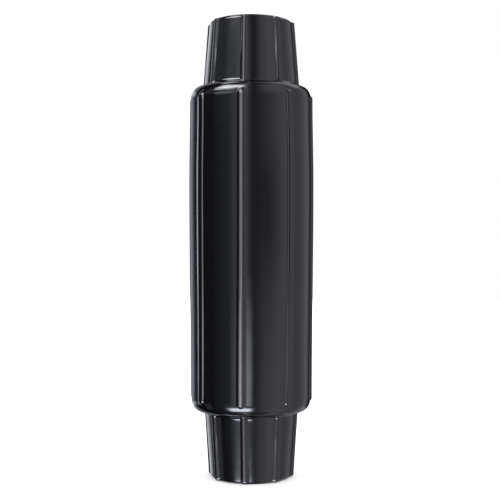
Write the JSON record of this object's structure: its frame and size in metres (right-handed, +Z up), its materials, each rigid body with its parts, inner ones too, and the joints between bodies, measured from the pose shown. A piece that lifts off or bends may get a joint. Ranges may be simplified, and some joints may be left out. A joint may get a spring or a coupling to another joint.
{
  "type": "inflatable dock fender",
  "caption": "Ribbed inflatable vinyl fender with a rope hole through its centre, hung between a boat's hull and a dock to cushion it.",
  "frame": {"origin": "centre of the lower end face, on the fender's axis, where it stands", "axes": "+Z up along the fender's axis, towards the end that has the valve; one rib faces +X and one faces +Y, and the valve lies towards +Y"},
  "size_m": [0.1404, 0.1404, 0.508],
  "materials": {
    "black_vinyl": "high-gloss black moulded vinyl with a faint flow texture",
    "valve_rubber": "satin black rubber"
  },
  "bodies": {
    "root": {"fender_body": "black_vinyl", "inflation_valve": "valve_rubber"}
  },
  "joints": []
}
